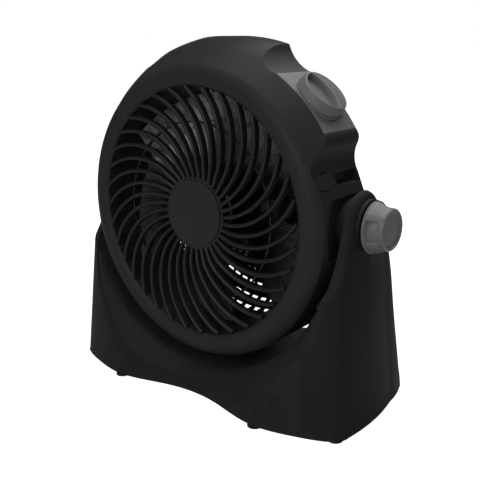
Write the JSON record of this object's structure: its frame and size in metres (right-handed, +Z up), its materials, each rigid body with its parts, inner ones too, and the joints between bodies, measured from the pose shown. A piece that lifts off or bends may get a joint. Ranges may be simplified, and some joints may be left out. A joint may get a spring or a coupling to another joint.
{
  "type": "air circulator fan",
  "caption": "Table air circulator: round tilting head with swirl grille, tunnel and impeller, held between the arms of a U stand, with speed and lock knobs.",
  "frame": {"origin": "on the ground under the head's tilt axis, at the middle of the footprint", "axes": "+Z up, the grille faces -Y, +X is the side of the speed knob"},
  "size_m": [0.37, 0.181, 0.3619],
  "materials": {
    "black_moulding": "satin moulded black",
    "gloss_moulding": "polished black",
    "grey_moulding": "fine matt grey",
    "foot_rubber": "matt rubber",
    "screw_steel": "zinc plated",
    "bearing_steel": "ground steel",
    "lamination_steel": "stacked sheet",
    "cast_alloy": "die cast",
    "copper_winding": "enamelled wire",
    "brass_insert": "turned",
    "capacitor_case": "moulded case"
  },
  "bodies": {
    "stand": {"base_shell": "black_moulding", "base_plate": "black_moulding", "base_screws": "screw_steel", "feet": "foot_rubber"},
    "head": {"front_housing": "black_moulding", "control_panel": "grey_moulding", "front_grille": "black_moulding", "hub_cap": "black_moulding", "rear_grille": "black_moulding", "motor_cover": "black_moulding", "housing_screws": "screw_steel", "motor_front_bell": "cast_alloy", "motor_rear_bell": "cast_alloy", "motor_stator": "lamination_steel", "motor_windings": "copper_winding", "motor_bearings": "bearing_steel", "motor_screws": "screw_steel", "run_capacitor": "capacitor_case", "cord_gland": "foot_rubber", "rotary_switch": "capacitor_case", "pivot_inserts": "brass_insert", "friction_washers": "foot_rubber"},
    "rotor": {"impeller": "gloss_moulding", "motor_shaft": "bearing_steel", "rotor_core": "lamination_steel", "impeller_nut": "grey_moulding"},
    "speed_control": {"speed_knob": "grey_moulding", "switch_spindle": "capacitor_case"},
    "left_lock_knob": {"left_knob": "grey_moulding", "left_bolt": "bearing_steel"},
    "right_lock_knob": {"right_knob": "grey_moulding", "right_bolt": "bearing_steel"}
  },
  "joints": [
    {"name": "head_tilt", "type": "hinge", "parent": "stand", "child": "head", "pos_m": [0, 0, 0.1924], "axis": [-1, 0, 0], "range_deg": [-10, 90]},
    {"name": "impeller_spin", "type": "hinge", "parent": "head", "child": "rotor", "pos_m": [0, 0, 0.1924], "axis": [0, 1, 0], "continuous": true},
    {"name": "speed_select", "type": "hinge", "parent": "head", "child": "speed_control", "pos_m": [0, -0.013, 0.1924], "axis": [0.6934, 0, 0.7206], "range_deg": [0, 135]},
    {"name": "left_lock", "type": "hinge", "parent": "stand", "child": "left_lock_knob", "pos_m": [-0.17, 0, 0.1924], "axis": [-1, 0, 0], "range_deg": [0, 180]},
    {"name": "right_lock", "type": "hinge", "parent": "stand", "child": "right_lock_knob", "pos_m": [0.17, 0, 0.1924], "axis": [1, 0, 0], "range_deg": [0, 180]}
  ]
}
